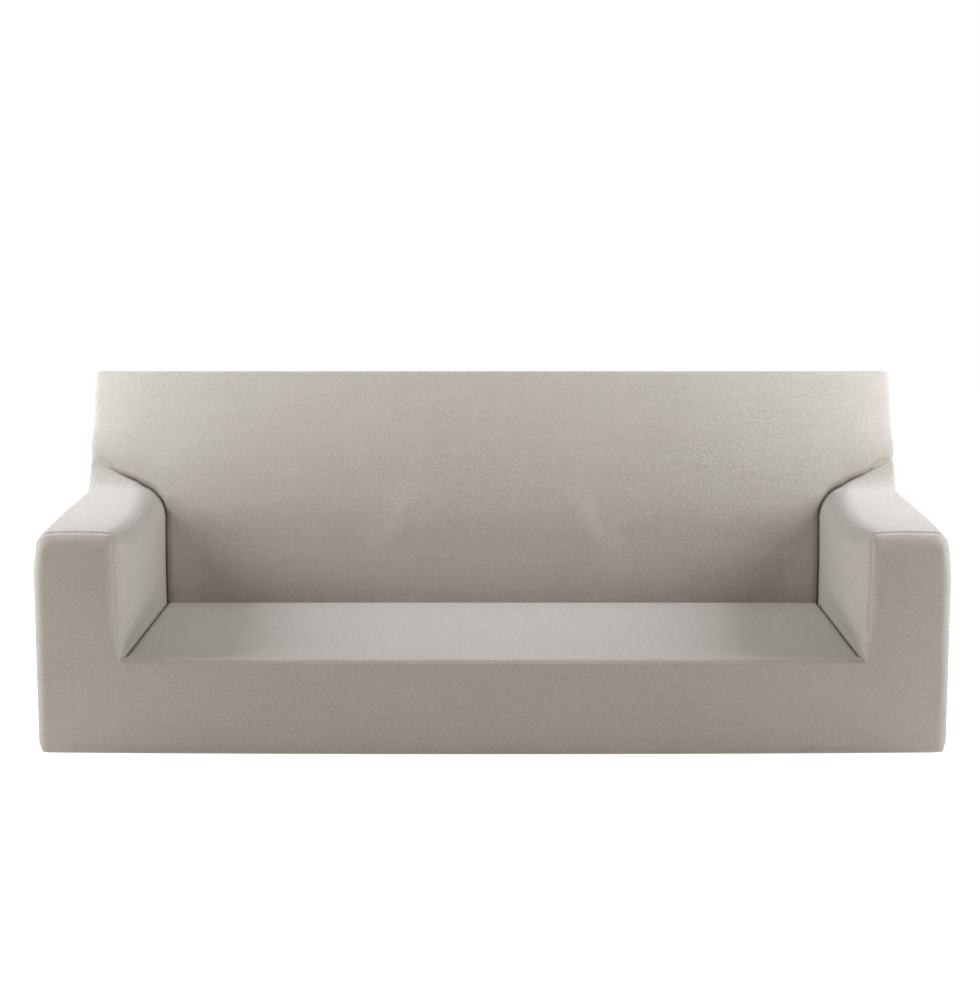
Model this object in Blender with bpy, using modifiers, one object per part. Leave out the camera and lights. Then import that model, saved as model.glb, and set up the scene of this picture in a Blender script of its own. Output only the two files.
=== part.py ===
"""A fitted stretch slipcover for a three-place sofa, as six cut panels of knit cloth.

The cover's outside is modelled once, as the open box form of the sofa that it is pulled
over: a base block, with the arms and the backrest extruded from its top. Subdivision
rounds the edges, and the functions under "Form" lean, crown, stretch and tuck it. The
skin is then cut along its seams into panels, and each panel is thickened inwards.

Metres, +Z up. The front faces -Y, and the origin is on the floor, in the middle.
"""

import math

import bmesh
import bpy
from mathutils import Matrix, Vector

# Driving dimensions
WIDTH = 2.21            # outside of one arm to outside of the other, at the floor
DEPTH = 0.90
HEIGHT = 0.858          # top of the backrest
ARM_WIDTH = 0.208
ARM_HEIGHT = 0.554
SEAT_HEIGHT = 0.240     # the deck between the arms
BACKREST_DEPTH = 0.315  # at the deck, where the backrest is deepest
CLOTH = 0.0024          # thickness of the knit
SEAM_GAP = 0.0003       # left between two panels along their seam

HALF_WIDTH = WIDTH / 2
HALF_DEPTH = DEPTH / 2
SEAT_HALF = HALF_WIDTH - ARM_WIDTH
BACK_Y = HALF_DEPTH - BACKREST_DEPTH
FOLD_X = 0.28           # the backrest's cloth is strained this far from the middle

# Lines that hold an edge: the nearer they lie to it, the tighter subdivision rounds it
HOLD = 0.020
SOFT_HOLD = 0.034
FOLD_HALF = 0.042       # lines this far to each side of that place carry its fold

HALF_PLANES_X = (
    FOLD_X - FOLD_HALF,
    FOLD_X,
    FOLD_X + FOLD_HALF,
    0.62,
    SEAT_HALF - HOLD,
    SEAT_HALF,
    SEAT_HALF + HOLD,
    SEAT_HALF + 0.055,
    HALF_WIDTH - 0.085,
    HALF_WIDTH - SOFT_HOLD,
)
PLANES_Y = (
    -HALF_DEPTH + HOLD,
    -0.27,
    -0.06,
    BACK_Y - 0.06,
    BACK_Y - HOLD,
    BACK_Y,
    BACK_Y + SOFT_HOLD,
    BACK_Y + 0.15,
    HALF_DEPTH - HOLD,
)
PLANES_Z = (
    HOLD,
    SEAT_HEIGHT - HOLD,
    SEAT_HEIGHT,
    SEAT_HEIGHT + HOLD,
    0.40,
    ARM_HEIGHT - 0.062,
    ARM_HEIGHT - 0.024,
    ARM_HEIGHT,
    ARM_HEIGHT + HOLD,
    0.63,
    0.71,
    HEIGHT - SOFT_HOLD,
)

# Form of the stretched cloth
BACK_LEAN = 0.050       # run of the backrest's face from deck to top, as a straight slope
BACK_CURL = 0.100       # and what its curve adds at the top
BACK_PUFF = 0.012       # crown of the backrest's face
BACK_FACE = 0.10        # the crown dies out this far behind the face
TOP_FALL = 0.026        # drop of the backrest's top from its front to its rear edge
BACK_SPREAD = 0.007     # each end of the backrest swells out above the arm
SPREAD_BLEND = 0.05     # and does so over this height on each side of the arm's top
SIDE_LEAN = 0.009       # an outer side leans in this much from the floor to the arm's top
ARM_EDGE_DRAW = 0.005   # and the arm's outer top edge draws in further at its front
DRAW_DEPTH = 0.114      # from this far below the arm's top
ARM_CROWN = 0.012       # drop of an arm's top from its middle to its edges, at the front
CROWN_DEPTH = 0.09      # the drop dies out this far down the sides
INNER_ROUND = (0.014, 0.056)    # radius of an arm's inner top edge, at its front and back
OUTER_ROUND = (0.036, 0.012)    # and of its outer top edge
WEB_RISE = 0.074        # cloth pulled up between the arm's outer edge and the backrest
WEB_REACH = 0.080       # forwards from the backrest
WEB_INSET = 0.030       # it starts this far out from the arm's inner face
WEB_FOOT = 0.12         # and this far below the arm's top
WEB_HEAD = 0.74         # and is spent at this height
TUCK = 0.016            # depth of the crease in the hollow edges
TUCK_END = 0.06         # the crease behind an arm fades out over this length at its outer end
FRONT_PUFF = 0.004      # crown of an arm's front
PUFF_FOOT = (0.10, 0.35)    # heights between which it swells
PUFF_HEAD = 0.10            # and it fades out over this height below the arm's top
HEM_LIFT = 0.005        # the lower edge rises this much towards the corners

# Strained ridges low in the face of the backrest
RIDGE_HALF = FOLD_HALF * 1.3
STRAIN_FOLDS = (
    # x at the foot, x at the head, foot z, head z, height
    (-0.290, -0.245, 0.33, 0.56, 0.006),
    (0.290, 0.245, 0.33, 0.56, 0.006),
)

PANELS = (
    # node, colour of its cloth
    ("front_panel", (0.44, 0.41, 0.37)),
    ("arm_cover_left", (0.47, 0.44, 0.40)),
    ("arm_cover_right", (0.47, 0.44, 0.40)),
    ("inside_back", (0.46, 0.43, 0.39)),
    ("outside_back", (0.43, 0.40, 0.36)),
    ("seat_deck", (0.42, 0.39, 0.35)),
)
PANEL_NUMBER = {name: number for number, (name, _) in enumerate(PANELS)}

ROUGHNESS = 0.9
TINY = 1e-5
CORNER = 0.004          # a point this near an edge of the box form lies on that edge
FLAT = 1e-3             # faces that turn less than this, in radians, are one face


def ramp(value, start, end):
    """0 before start, 1 past end, and a smooth rise between them."""
    t = min(max((value - start) / (end - start), 0.0), 1.0)
    return t * t * (3.0 - 2.0 * t)


def hump(value, centre, half_width):
    """1 at the centre, falling smoothly to 0 at half_width on both sides."""
    t = min(abs(value - centre) / half_width, 1.0)
    return (1.0 - t * t) ** 2


def clear_scene():
    for obj in list(bpy.data.objects):
        bpy.data.objects.remove(obj, do_unlink=True)


# Box form of the cover


def raise_top(bm, chosen, rise):
    """Extrude the top faces whose centres are chosen straight up."""
    bm.normal_update()
    faces = [f for f in bm.faces if f.normal.z > 0.5 and chosen(f.calc_center_median())]
    extruded = bmesh.ops.extrude_face_region(bm, geom=faces)["geom"]
    corners = [item for item in extruded if isinstance(item, bmesh.types.BMVert)]
    bmesh.ops.translate(bm, verts=corners, vec=(0.0, 0.0, rise))
    bmesh.ops.delete(bm, geom=faces, context="FACES")


def cut_by_plane(bm, point, normal):
    everything = bm.verts[:] + bm.edges[:] + bm.faces[:]
    bmesh.ops.bisect_plane(bm, geom=everything, dist=TINY, plane_co=point, plane_no=normal)


def box_form():
    """The sofa's box form, with lines that hold its edges and an open bottom."""
    bm = bmesh.new()
    size = Matrix.Diagonal((WIDTH, DEPTH, SEAT_HEIGHT, 1.0))
    place = Matrix.Translation((0.0, 0.0, SEAT_HEIGHT / 2))
    bmesh.ops.create_cube(bm, size=1.0, matrix=place @ size)
    for side in (-1, 1):
        cut_by_plane(bm, (side * SEAT_HALF, 0.0, 0.0), (1.0, 0.0, 0.0))
    cut_by_plane(bm, (0.0, BACK_Y, 0.0), (0.0, 1.0, 0.0))
    raise_top(bm, lambda c: abs(c.x) > SEAT_HALF or c.y > BACK_Y, ARM_HEIGHT - SEAT_HEIGHT)
    raise_top(bm, lambda c: c.y > BACK_Y, HEIGHT - ARM_HEIGHT)

    cut_by_plane(bm, (0.0, 0.0, 0.0), (1.0, 0.0, 0.0))
    for x in HALF_PLANES_X:
        cut_by_plane(bm, (x, 0.0, 0.0), (1.0, 0.0, 0.0))
        cut_by_plane(bm, (-x, 0.0, 0.0), (1.0, 0.0, 0.0))
    for y in PLANES_Y:
        cut_by_plane(bm, (0.0, y, 0.0), (0.0, 1.0, 0.0))
    for z in PLANES_Z:
        cut_by_plane(bm, (0.0, 0.0, z), (0.0, 0.0, 1.0))
    bm.normal_update()
    return bm


def open_bottom(bm):
    """Leave only a hem of the bottom, turned in as far as the nearest holding lines."""
    hem_x, hem_y = HALF_WIDTH - SOFT_HOLD, HALF_DEPTH - HOLD
    inner = []
    for face in bm.faces:
        centre = face.calc_center_median()
        if face.normal.z < -0.5 and abs(centre.x) < hem_x and abs(centre.y) < hem_y:
            inner.append(face)
    bmesh.ops.delete(bm, geom=inner, context="FACES")


def panel_of(face):
    """The name of the panel that a face of the box form is cut from."""
    centre, normal = face.calc_center_median(), face.normal
    side = "left" if centre.x < 0 else "right"
    above_arms = centre.z > ARM_HEIGHT + TINY
    if centre.y < -HALF_DEPTH + HOLD and abs(normal.z) < 0.5 and abs(centre.x) > SEAT_HALF + TINY:
        return "front_panel"
    if normal.y < -0.5 and centre.y < BACK_Y - TINY:
        return "front_panel"
    if normal.z < -0.5 and centre.y < -HALF_DEPTH + HOLD:
        return "front_panel"
    if normal.y > 0.5 or (normal.z < -0.5 and centre.y > HALF_DEPTH - HOLD):
        return "outside_back"
    if normal.z > 0.5 and abs(centre.z - SEAT_HEIGHT) < TINY:
        return "seat_deck"
    if above_arms or (normal.y < -0.5 and abs(centre.x) < SEAT_HALF):
        return "inside_back"
    return "arm_cover_" + side


def sharpen_tucks(bm):
    """Crease the hollow edges, which subdivision would otherwise round.

    Above the arm's outer edge the cloth bridges the hollow, so the crease stops short.
    """
    crease = bm.edges.layers.float.new("crease_edge")
    for edge in bm.edges:
        hollow = len(edge.link_faces) == 2 and edge.calc_face_angle_signed() < -0.5
        middle = (edge.verts[0].co + edge.verts[1].co) / 2
        if hollow and abs(middle.x) < HALF_WIDTH - SOFT_HOLD:
            edge[crease] = 1.0


def subdivided_skin(bm):
    """The box form after one level of subdivision, as a new bmesh."""
    mesh = bpy.data.meshes.new("form")
    bm.to_mesh(mesh)
    bm.free()
    form = bpy.data.objects.new("form", mesh)
    bpy.context.scene.collection.objects.link(form)
    rounding = form.modifiers.new("rounding", "SUBSURF")
    rounding.levels = 1
    rounding.render_levels = 1
    graph = bpy.context.evaluated_depsgraph_get()
    rounded = bpy.data.meshes.new_from_object(form.evaluated_get(graph))
    bpy.data.objects.remove(form)
    skin = bmesh.new()
    skin.from_mesh(rounded)
    return skin


# Form: each function moves one point of the skin, given its place in the box form


def lean_backrest(point, box):
    """The backrest leans back, and the arms stretch with it from their fronts."""
    rise = max(box.z - SEAT_HEIGHT, 0.0) / (HEIGHT - SEAT_HEIGHT)
    run = BACK_LEAN * rise + BACK_CURL * rise * rise
    if box.y > BACK_Y:
        share = (HALF_DEPTH - box.y) / (HALF_DEPTH - BACK_Y)
    else:
        share = (HALF_DEPTH + box.y) / (HALF_DEPTH + BACK_Y)
    point.y += run * share


def puff_backrest(point, box):
    """The filling crowns the face of the backrest."""
    if box.z > SEAT_HEIGHT and box.y > BACK_Y - TINY:
        rise = (box.z - SEAT_HEIGHT) / (HEIGHT - SEAT_HEIGHT)
        across = 1.0 - (abs(box.x) / HALF_WIDTH) ** 4
        front = 1.0 - ramp(box.y, BACK_Y, BACK_Y + BACK_FACE)
        point.y -= BACK_PUFF * 4.0 * rise * (1.0 - rise) * across * front


def slope_top(point, box):
    """The top of the backrest falls from its front edge to its rear edge."""
    rearwards = max(box.y - BACK_Y, 0.0) / BACKREST_DEPTH
    point.z -= TOP_FALL * rearwards * ramp(box.z, ARM_HEIGHT, HEIGHT)


def draw_in_sides(point, box):
    """The outer sides lean in as they rise, most along the front half of the arms' tops."""
    out = ramp(abs(box.x), SEAT_HALF, HALF_WIDTH)
    front = 1.0 - min((box.y + HALF_DEPTH) / (BACK_Y + HALF_DEPTH), 1.0)
    inset = SIDE_LEAN * min(box.z / ARM_HEIGHT, 1.0)
    inset += ARM_EDGE_DRAW * front * ramp(box.z, ARM_HEIGHT - DRAW_DEPTH, ARM_HEIGHT)
    inset -= BACK_SPREAD * ramp(box.z, ARM_HEIGHT - SPREAD_BLEND, ARM_HEIGHT + SPREAD_BLEND)
    point.x -= inset * out if box.x > 0 else -inset * out


def crown_arm(point, box):
    """An arm's top is crowned at the front."""
    if abs(box.x) > SEAT_HALF - TINY and box.y < BACK_Y + TINY:
        back = (box.y + HALF_DEPTH) / (BACK_Y + HALF_DEPTH)
        across = (abs(box.x) - SEAT_HALF) / ARM_WIDTH
        top = hump(box.z, ARM_HEIGHT, CROWN_DEPTH)
        point.z -= ARM_CROWN * (2.0 * across - 1.0) ** 2 * top * (1.0 - back)


def rounded(aside, below, radius):
    """Where a point of a square edge goes when the edge takes this radius."""
    if min(aside, below) < -TINY or max(aside, below) > radius:
        return 0.0, 0.0
    reach = math.hypot(radius - aside, radius - below)
    pull = max(1.0 - radius / reach, 0.0)
    return (radius - aside) * pull, (radius - below) * pull


def round_arm_edges(point, box):
    """The arm's inner top edge softens towards the backrest, and its outer one tightens."""
    if abs(box.x) < SEAT_HALF - TINY or box.y > BACK_Y + TINY:
        return
    back = (box.y + HALF_DEPTH) / (BACK_Y + HALF_DEPTH)
    outwards = 1.0 if box.x > 0 else -1.0
    below = ARM_HEIGHT - box.z
    inner = INNER_ROUND[0] + (INNER_ROUND[1] - INNER_ROUND[0]) * back
    aside_move, down = rounded(abs(box.x) - SEAT_HALF, below, inner)
    point.x += outwards * aside_move
    point.z -= down
    outer = OUTER_ROUND[1] + (OUTER_ROUND[0] - OUTER_ROUND[1]) * (1.0 - back) ** 3
    if box.y < BACK_Y - TINY:
        aside_move, down = rounded(HALF_WIDTH - abs(box.x), below, outer)
        point.x -= outwards * aside_move
        point.z -= down


def raise_web(point, box):
    """The cloth is pulled up from the arm's outer top edge to the end of the backrest."""
    out = max(abs(box.x) - SEAT_HALF - WEB_INSET, 0.0) / (ARM_WIDTH - WEB_INSET)
    if box.y < BACK_Y:
        near = max(1.0 - (BACK_Y - box.y) / WEB_REACH, 0.0) ** 2
    else:
        near = 1.0 - ramp(box.y, BACK_Y, HALF_DEPTH)
    level = ramp(box.z, ARM_HEIGHT - WEB_FOOT, ARM_HEIGHT)
    level *= 1.0 - ramp(box.z, ARM_HEIGHT, WEB_HEAD)
    point.z += WEB_RISE * out * near * level


def puff_front(point, box):
    """Each arm's front is crowned a little between its seams."""
    if box.y < -HALF_DEPTH + HOLD and abs(box.x) > SEAT_HALF:
        across = (abs(box.x) - SEAT_HALF) / ARM_WIDTH
        up = ramp(box.z, *PUFF_FOOT) * (1.0 - ramp(box.z, ARM_HEIGHT - PUFF_HEAD, ARM_HEIGHT))
        point.y -= FRONT_PUFF * 4.0 * across * (1.0 - across) * up


def strain_folds(point, box):
    """Soft ridges rise low in the backrest's face and lean inwards as they climb."""
    if abs(box.y - BACK_Y) > HOLD:
        return
    for foot_x, head_x, foot_z, head_z, height in STRAIN_FOLDS:
        climb = min(max((box.z - foot_z) / (head_z - foot_z), 0.0), 1.0)
        ridge_x = foot_x + (head_x - foot_x) * climb
        along = hump(box.z, foot_z, head_z - foot_z)
        point.y -= height * along * hump(box.x, ridge_x, RIDGE_HALF)


def lift_hem(point, box):
    """The lower edge hangs lowest in its middle."""
    low = 1.0 - ramp(box.z, 0.0, SEAT_HEIGHT)
    point.z += HEM_LIFT * low * (abs(box.x) / HALF_WIDTH) ** 2


def tuck(point, box):
    """The cloth is pushed into the hollow edges round the seat and behind the arms."""
    on_back = abs(box.y - BACK_Y) < CORNER
    on_arm_side = abs(abs(box.x) - SEAT_HALF) < CORNER
    on_deck = abs(box.z - SEAT_HEIGHT) < CORNER
    on_arm_top = abs(box.z - ARM_HEIGHT) < CORNER and abs(box.x) > SEAT_HALF
    inside = box.y > -HALF_DEPTH + HOLD + TINY
    if on_deck and inside and (on_back or on_arm_side):
        point.z -= TUCK
    if on_back and (on_arm_side or on_arm_top) and box.z < ARM_HEIGHT + TINY:
        point.y += TUCK * (1.0 - ramp(abs(box.x), HALF_WIDTH - TUCK_END, HALF_WIDTH))


FORM = (
    lean_backrest,
    puff_backrest,
    slope_top,
    crown_arm,
    round_arm_edges,
    raise_web,
    draw_in_sides,
    puff_front,
    strain_folds,
    lift_hem,
    tuck,
)


def give_form(skin):
    """Move every point of the skin by all the form functions, and note its normal."""
    for vert in skin.verts:
        box = vert.co.copy()
        for move in FORM:
            move(vert.co, box)
    skin.normal_update()
    inwards = skin.verts.layers.float_vector.new("inwards")
    place = skin.verts.layers.int.new("place")
    for number, vert in enumerate(skin.verts):
        vert[inwards] = -vert.normal
        vert[place] = number


# Panels


def cut_panel(skin, number):
    """A copy of the skin that holds only one panel, with the whole skin's normals."""
    panel = skin.copy()
    others = [f for f in panel.faces if f.material_index != number]
    bmesh.ops.delete(panel, geom=others, context="FACES")
    for face in panel.faces:
        face.material_index = 0
    return panel


def join_flat_faces(panel):
    """A stretch that lies in one plane needs no lines across it."""
    bmesh.ops.dissolve_limit(
        panel, angle_limit=FLAT, verts=panel.verts[:], edges=panel.edges[:]
    )


def trim_seams(panel):
    """Draw the panel's edge back by half of the gap that every seam keeps."""
    inwards = panel.verts.layers.float_vector["inwards"]
    moves = {}
    for vert in panel.verts:
        sides = []
        for edge in vert.link_edges:
            if edge.is_boundary:
                along = edge.other_vert(vert).co - vert.co
                across = along.cross(vert[inwards]).normalized()
                if across.dot(edge.link_faces[0].calc_center_median() - vert.co) < 0.0:
                    across.negate()
                sides.append(across)
        if sides:
            total = sum(sides, Vector())
            spread = 1.0 + sides[0].dot(sides[-1])
            moves[vert] = total / max(spread, 0.5) * (SEAM_GAP / 2)
    for vert, move in moves.items():
        vert.co += move


def thicken(panel):
    """Close the panel into a solid by extruding it inwards by the cloth's thickness."""
    inwards = panel.verts.layers.float_vector["inwards"]
    place = panel.verts.layers.int["place"]
    outside = panel.faces[:]
    made = bmesh.ops.extrude_face_region(panel, geom=outside, use_keep_orig=True)["geom"]
    lining = {item for item in made if isinstance(item, bmesh.types.BMVert)}
    for vert in lining:
        vert.co += vert[inwards] * CLOTH
    # Both sides of a seam are split along the same diagonal, so they stay parallel
    for wall in panel.faces[:]:
        near = [vert for vert in wall.verts if vert not in lining]
        far = [vert for vert in wall.verts if vert in lining]
        if near and far:
            start = min(near, key=lambda vert: vert[place])
            end = max(far, key=lambda vert: vert[place])
            bmesh.utils.face_split(wall, start, end)
    bmesh.ops.recalc_face_normals(panel, faces=panel.faces)


def cloth_material(name, colour):
    material = bpy.data.materials.new(name + "_knit")
    material.use_nodes = True
    shader = material.node_tree.nodes["Principled BSDF"]
    shader.inputs["Base Color"].default_value = (*colour, 1.0)
    shader.inputs["Roughness"].default_value = ROUGHNESS
    shader.inputs["Metallic"].default_value = 0.0
    return material


def add_panel(skin, name, colour, collection, root):
    panel = cut_panel(skin, PANEL_NUMBER[name])
    trim_seams(panel)
    join_flat_faces(panel)
    thicken(panel)
    mesh = bpy.data.meshes.new(name)
    panel.to_mesh(mesh)
    panel.free()
    mesh.shade_smooth()
    mesh.materials.append(cloth_material(name, colour))
    obj = bpy.data.objects.new(name, mesh)
    collection.objects.link(obj)
    obj.parent = root


def main():
    clear_scene()
    collection = bpy.data.collections.new("sofa_slipcover")
    bpy.context.scene.collection.children.link(collection)
    root = bpy.data.objects.new("sofa_slipcover", None)
    collection.objects.link(root)

    form = box_form()
    open_bottom(form)
    for face in form.faces:
        face.material_index = PANEL_NUMBER[panel_of(face)]
    sharpen_tucks(form)
    skin = subdivided_skin(form)
    give_form(skin)
    for name, colour in PANELS:
        add_panel(skin, name, colour, collection, root)
    skin.free()


main()
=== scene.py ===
# %% [markdown]
# # A fitted slipcover for a three-place sofa
#
# The real thing is a cover of stretch knit, cut in six panels and sewn edge to edge. It is pulled
# over a sofa with square arms, so the cloth stands as tight as a skin, and only its seams, its
# tucks and two strained folds show that it is cloth. The plain solids of the panels are packed
# already. This lesson models the same panels finely, and gives them the knit.
#
# The solids come in first. They hold the places and sizes that the fine panels keep to.

# %% Load the solids
import math

import bmesh
import bpy
import numpy as np
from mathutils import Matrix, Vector, noise
from mathutils.kdtree import KDTree


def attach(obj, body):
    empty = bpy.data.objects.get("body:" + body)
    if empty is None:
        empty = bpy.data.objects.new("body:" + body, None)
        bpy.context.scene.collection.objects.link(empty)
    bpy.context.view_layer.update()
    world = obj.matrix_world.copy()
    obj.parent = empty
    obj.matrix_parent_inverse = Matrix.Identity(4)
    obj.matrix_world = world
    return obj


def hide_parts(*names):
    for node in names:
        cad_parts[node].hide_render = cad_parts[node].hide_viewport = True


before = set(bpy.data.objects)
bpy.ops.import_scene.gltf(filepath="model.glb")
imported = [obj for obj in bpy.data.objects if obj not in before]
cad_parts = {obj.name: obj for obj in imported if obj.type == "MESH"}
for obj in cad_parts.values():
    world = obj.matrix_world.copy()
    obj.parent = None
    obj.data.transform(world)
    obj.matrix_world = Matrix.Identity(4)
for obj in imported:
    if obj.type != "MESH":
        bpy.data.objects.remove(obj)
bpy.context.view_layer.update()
print("solids:", sorted(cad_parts))

# %% [markdown]
# ## Camera
#
# The cover is seen from straight in front and a little above. A camera that stands nearer with a
# wider lens would show more of the arms' tops, so its distance and height are worked out from how
# much of them shows. They could be turned by eye as well, but a few numbers that fit the outline
# are quicker to keep.

# %% Place the camera
IMAGE_WIDTH = 980           # pixels
IMAGE_HEIGHT = 981
FOCAL_PIXELS = 1679.25
CAMERA_PLACE = (0.0, -4.354, 1.370)
CAMERA_DROP = 10.36         # degrees below level
MIDDLE_LEFT_BY = 2.5        # pixels from the image's middle to the cover's
SENSOR = 36.0

bpy.ops.object.camera_add(
    location=CAMERA_PLACE, rotation=(math.radians(90.0 - CAMERA_DROP), 0.0, 0.0)
)
camera = bpy.context.object
camera.data.sensor_fit = "HORIZONTAL"
camera.data.sensor_width = SENSOR
camera.data.lens = FOCAL_PIXELS / IMAGE_WIDTH * SENSOR
camera.data.shift_x = -MIDDLE_LEFT_BY / IMAGE_HEIGHT
bpy.context.scene.camera = camera
print("camera lens:", round(camera.data.lens, 2), "mm")

# %% [markdown]
# ## The block that the cover is pulled over
#
# A slipcover has the shape of its sofa: a base, two arms and a backrest, all of them blocks with
# rounded edges. One cube is sized to the base, and the arms and the backrest are extruded from
# its top. Modelling each panel by itself would work too, but then the edges of neighbouring panels
# would have to be matched by hand. Here they are cut from one skin later, so they always meet.

# %% Sizes of the block, in metres
WIDTH = 2.21
DEPTH = 0.90
HEIGHT = 0.858
ARM_WIDTH = 0.208
ARM_HEIGHT = 0.554
SEAT_HEIGHT = 0.240
BACKREST_DEPTH = 0.315

HALF_WIDTH = WIDTH / 2
HALF_DEPTH = DEPTH / 2
SEAT_HALF = HALF_WIDTH - ARM_WIDTH
BACK_Y = HALF_DEPTH - BACKREST_DEPTH
TINY = 1e-5
print("seat between the arms:", round(2 * SEAT_HALF, 3), "m")

# %% Tools for work in edit mode
FACING = 0.5                # a face whose normal has more than this along an axis faces that way


def make_active(obj):
    bpy.ops.object.select_all(action="DESELECT")
    bpy.context.view_layer.objects.active = obj
    obj.select_set(True)


def open_for_editing(obj):
    make_active(obj)
    bpy.ops.object.mode_set(mode="EDIT")


def pick_faces(obj, wanted):
    """Select the faces whose centre and normal are wanted."""
    bpy.ops.mesh.select_mode(type="FACE")
    bpy.ops.mesh.select_all(action="DESELECT")
    form = bmesh.from_edit_mesh(obj.data)
    form.normal_update()
    for face in form.faces:
        if wanted(face.calc_center_median(), face.normal):
            face.select_set(True)
    bmesh.update_edit_mesh(obj.data)


def cut_through(point, normal):
    bpy.ops.mesh.select_all(action="SELECT")
    bpy.ops.mesh.bisect(plane_co=point, plane_no=normal, threshold=TINY)


# %% Base block, arms and backrest
bpy.ops.object.select_all(action="DESELECT")
bpy.ops.mesh.primitive_cube_add(
    size=1.0, location=(0.0, 0.0, SEAT_HEIGHT / 2), scale=(WIDTH, DEPTH, SEAT_HEIGHT)
)
cover = bpy.context.object
cover.name = "cover"
bpy.ops.object.transform_apply(location=True, rotation=True, scale=True)

open_for_editing(cover)
for arm_face in (-SEAT_HALF, SEAT_HALF):
    cut_through((arm_face, 0.0, 0.0), (1.0, 0.0, 0.0))
cut_through((0.0, BACK_Y, 0.0), (0.0, 1.0, 0.0))

pick_faces(cover, lambda c, n: n.z > FACING and (abs(c.x) > SEAT_HALF or c.y > BACK_Y))
bpy.ops.mesh.extrude_region_move(
    TRANSFORM_OT_translate={"value": (0.0, 0.0, ARM_HEIGHT - SEAT_HEIGHT)}
)
pick_faces(cover, lambda c, n: n.z > FACING and c.y > BACK_Y)
bpy.ops.mesh.extrude_region_move(
    TRANSFORM_OT_translate={"value": (0.0, 0.0, HEIGHT - ARM_HEIGHT)}
)
bpy.ops.object.mode_set(mode="OBJECT")
print("block:", len(cover.data.polygons), "faces")

# %% [markdown]
# ## Lines that hold the edges
#
# Subdivision rounds every edge, and the nearer a line lies to the edge, the tighter it rounds it.
# So each edge gets a line on both sides, at 20 mm where the cloth turns tightly and at 34 mm where
# it turns softly. A bevel would round the edges too, but then the corners where three edges meet
# need mending. More lines lie where the form changes soon, on the arms, in front of the backrest
# and at its two folds. The wide stretches get plain lines in between, so that no cell is long.

# %% Cut the holding lines
HOLD = 0.020
SOFT_HOLD = 0.034
FOLD_X = 0.28               # a fold of the backrest lies this far from the middle
FOLD_HALF = 0.042           # lines this far to each side of that place carry it
ARM_TOP_LINES = (0.055, 0.085)      # from the arm's inner face, and from its outer side
ARM_SIDE_LINES = (0.062, 0.024)     # below the arm's top
BEFORE_BACK = 0.06
BEHIND_FACE = 0.15
INNER_SIDE_LINE = 0.40      # height of a line halfway up the arm's inner side
WIDEST_CELL = 0.085

EDGE_LINES_X = (
    0.0,
    FOLD_X - FOLD_HALF,
    FOLD_X,
    FOLD_X + FOLD_HALF,
    SEAT_HALF - HOLD,
    SEAT_HALF,
    SEAT_HALF + HOLD,
    SEAT_HALF + ARM_TOP_LINES[0],
    HALF_WIDTH - ARM_TOP_LINES[1],
    HALF_WIDTH - SOFT_HOLD,
)
EDGE_LINES_Y = (
    -HALF_DEPTH + HOLD,
    -HALF_DEPTH + 2 * HOLD,
    BACK_Y - BEFORE_BACK,
    BACK_Y - HOLD,
    BACK_Y,
    BACK_Y + SOFT_HOLD,
    BACK_Y + BEHIND_FACE,
    HALF_DEPTH - 2 * HOLD,
    HALF_DEPTH - HOLD,
)
EDGE_LINES_Z = (
    HOLD,
    SEAT_HEIGHT - HOLD,
    SEAT_HEIGHT,
    SEAT_HEIGHT + HOLD,
    INNER_SIDE_LINE,
    ARM_HEIGHT - ARM_SIDE_LINES[0],
    ARM_HEIGHT - ARM_SIDE_LINES[1],
    ARM_HEIGHT,
    ARM_HEIGHT + HOLD,
    HEIGHT - SOFT_HOLD,
)


def with_lines_between(lines):
    """The same lines, and even ones between them wherever a cell would be too wide."""
    filled = []
    for start, end in zip(lines, lines[1:]):
        cells = math.ceil((end - start) / WIDEST_CELL)
        filled += [start + (end - start) * cell / cells for cell in range(cells)]
    return filled + [lines[-1]]


open_for_editing(cover)
for x in with_lines_between(EDGE_LINES_X):
    for side in (-x, x) if x else (x,):
        cut_through((side, 0.0, 0.0), (1.0, 0.0, 0.0))
for y in with_lines_between(EDGE_LINES_Y):
    cut_through((0.0, y, 0.0), (0.0, 1.0, 0.0))
for z in with_lines_between(EDGE_LINES_Z):
    cut_through((0.0, 0.0, z), (0.0, 0.0, 1.0))
bpy.ops.object.mode_set(mode="OBJECT")
print("with its lines:", len(cover.data.polygons), "faces")

# %% [markdown]
# ## Open bottom and turned-in hem
#
# The cover is open below, where it is pulled on, and its lower edge is turned in. The faces of the
# bottom are deleted, all but a ring that reaches in as far as the first holding lines. That ring
# is the hem.

# %% Open the bottom
open_for_editing(cover)
pick_faces(
    cover,
    lambda c, n: (
        n.z < -FACING and abs(c.x) < HALF_WIDTH - SOFT_HOLD and abs(c.y) < HALF_DEPTH - HOLD
    ),
)
bpy.ops.mesh.delete(type="FACE")
bpy.ops.object.mode_set(mode="OBJECT")
print("open below:", len(cover.data.polygons), "faces")

# %% [markdown]
# ## Marking the panels and the grain
#
# A maker chalks the seams on the cloth before cutting. Here each face is marked with its panel's
# number, as its material index, because Blender can later separate a mesh by material. The knit
# also needs its grain: which way its rows run, at true size. Each face is laid out flat on the UV
# map in metres, one side of the block beside the next, as the flat pattern of the panel would lie.
# Blender's unwrap could lay the panels out as well, but it turns and stretches them as it likes.

# %% Number the panels
PANELS = (
    "front_panel",
    "arm_cover_left",
    "arm_cover_right",
    "inside_back",
    "outside_back",
    "seat_deck",
)


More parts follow.
